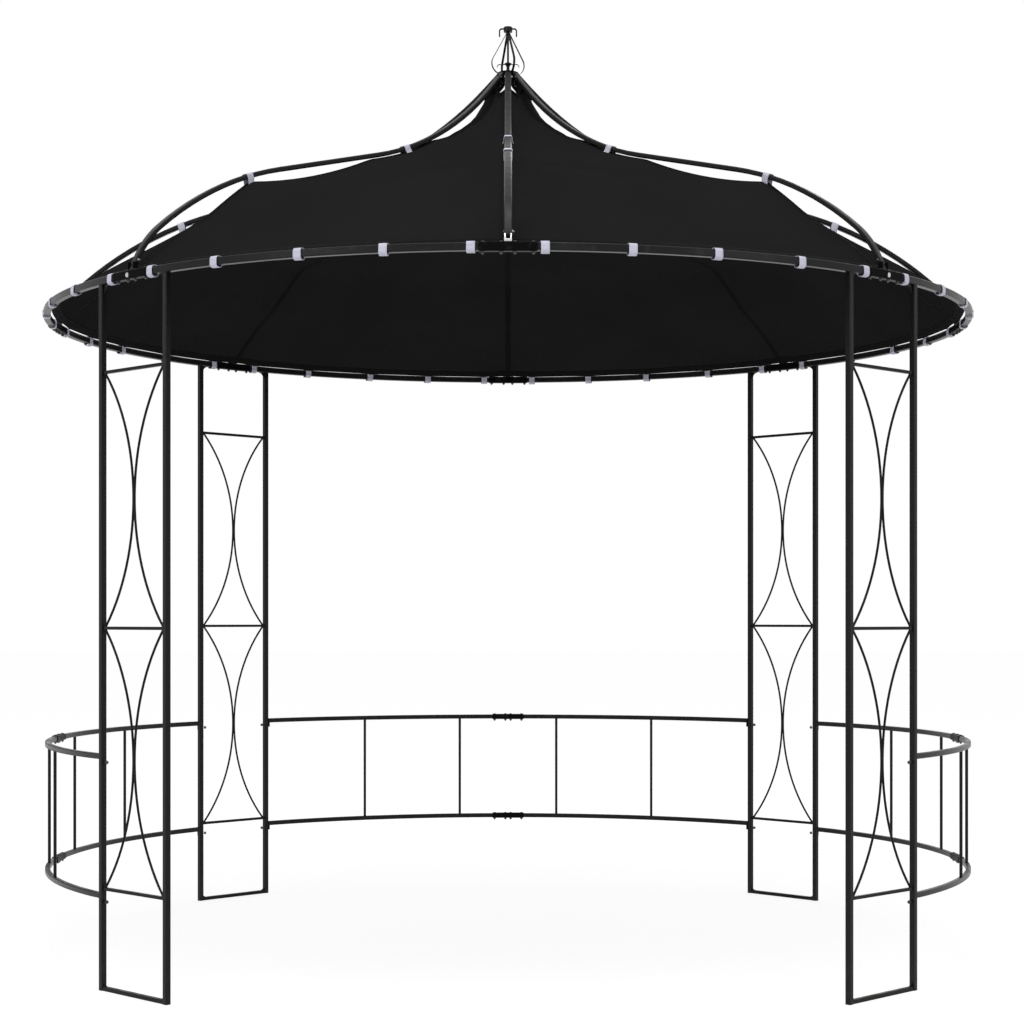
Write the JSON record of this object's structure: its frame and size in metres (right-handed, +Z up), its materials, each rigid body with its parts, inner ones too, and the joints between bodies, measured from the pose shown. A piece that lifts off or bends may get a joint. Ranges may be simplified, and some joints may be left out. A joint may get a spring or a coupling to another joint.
{
  "type": "round garden gazebo",
  "caption": "Round steel garden gazebo with lattice pillars, a curved balustrade, bowed ribs, a fabric canopy under the ribs and a cage finial",
  "frame": {"origin": "on the ground below the finial, at the middle of the round plan", "axes": "+Z up, the open bay without a balustrade faces -Y, +X to the right as seen from the open bay"},
  "size_m": [2.9996, 2.9996, 3.0135],
  "materials": {
    "steel": "satin",
    "cloth": "matt",
    "webbing": "matt"
  },
  "bodies": {
    "root": {"back_right_post_outer": "steel", "back_right_post_inner": "steel", "back_left_post_outer": "steel", "back_left_post_inner": "steel", "front_left_post_outer": "steel", "front_left_post_inner": "steel", "front_right_post_outer": "steel", "front_right_post_inner": "steel", "back_right_lattice": "steel", "back_left_lattice": "steel", "front_left_lattice": "steel", "front_right_lattice": "steel", "ring_segment_1": "steel", "ring_segment_2": "steel", "ring_segment_3": "steel", "ring_segment_4": "steel", "ring_segment_5": "steel", "ring_segment_6": "steel", "ring_segment_7": "steel", "ring_segment_8": "steel", "ring_sleeves": "steel", "right_top_rail": "steel", "right_bottom_rail": "steel", "back_top_rail": "steel", "back_bottom_rail": "steel", "left_top_rail": "steel", "left_bottom_rail": "steel", "right_balusters": "steel", "back_balusters": "steel", "left_balusters": "steel", "rail_sleeves": "steel", "rib_1": "steel", "rib_2": "steel", "rib_3": "steel", "rib_4": "steel", "rib_5": "steel", "rib_6": "steel", "rib_7": "steel", "rib_8": "steel", "hub": "steel", "finial_cage": "steel", "finial_spindle": "steel", "finial_cap": "steel", "canopy": "cloth", "canopy_straps": "webbing"}
  },
  "joints": []
}
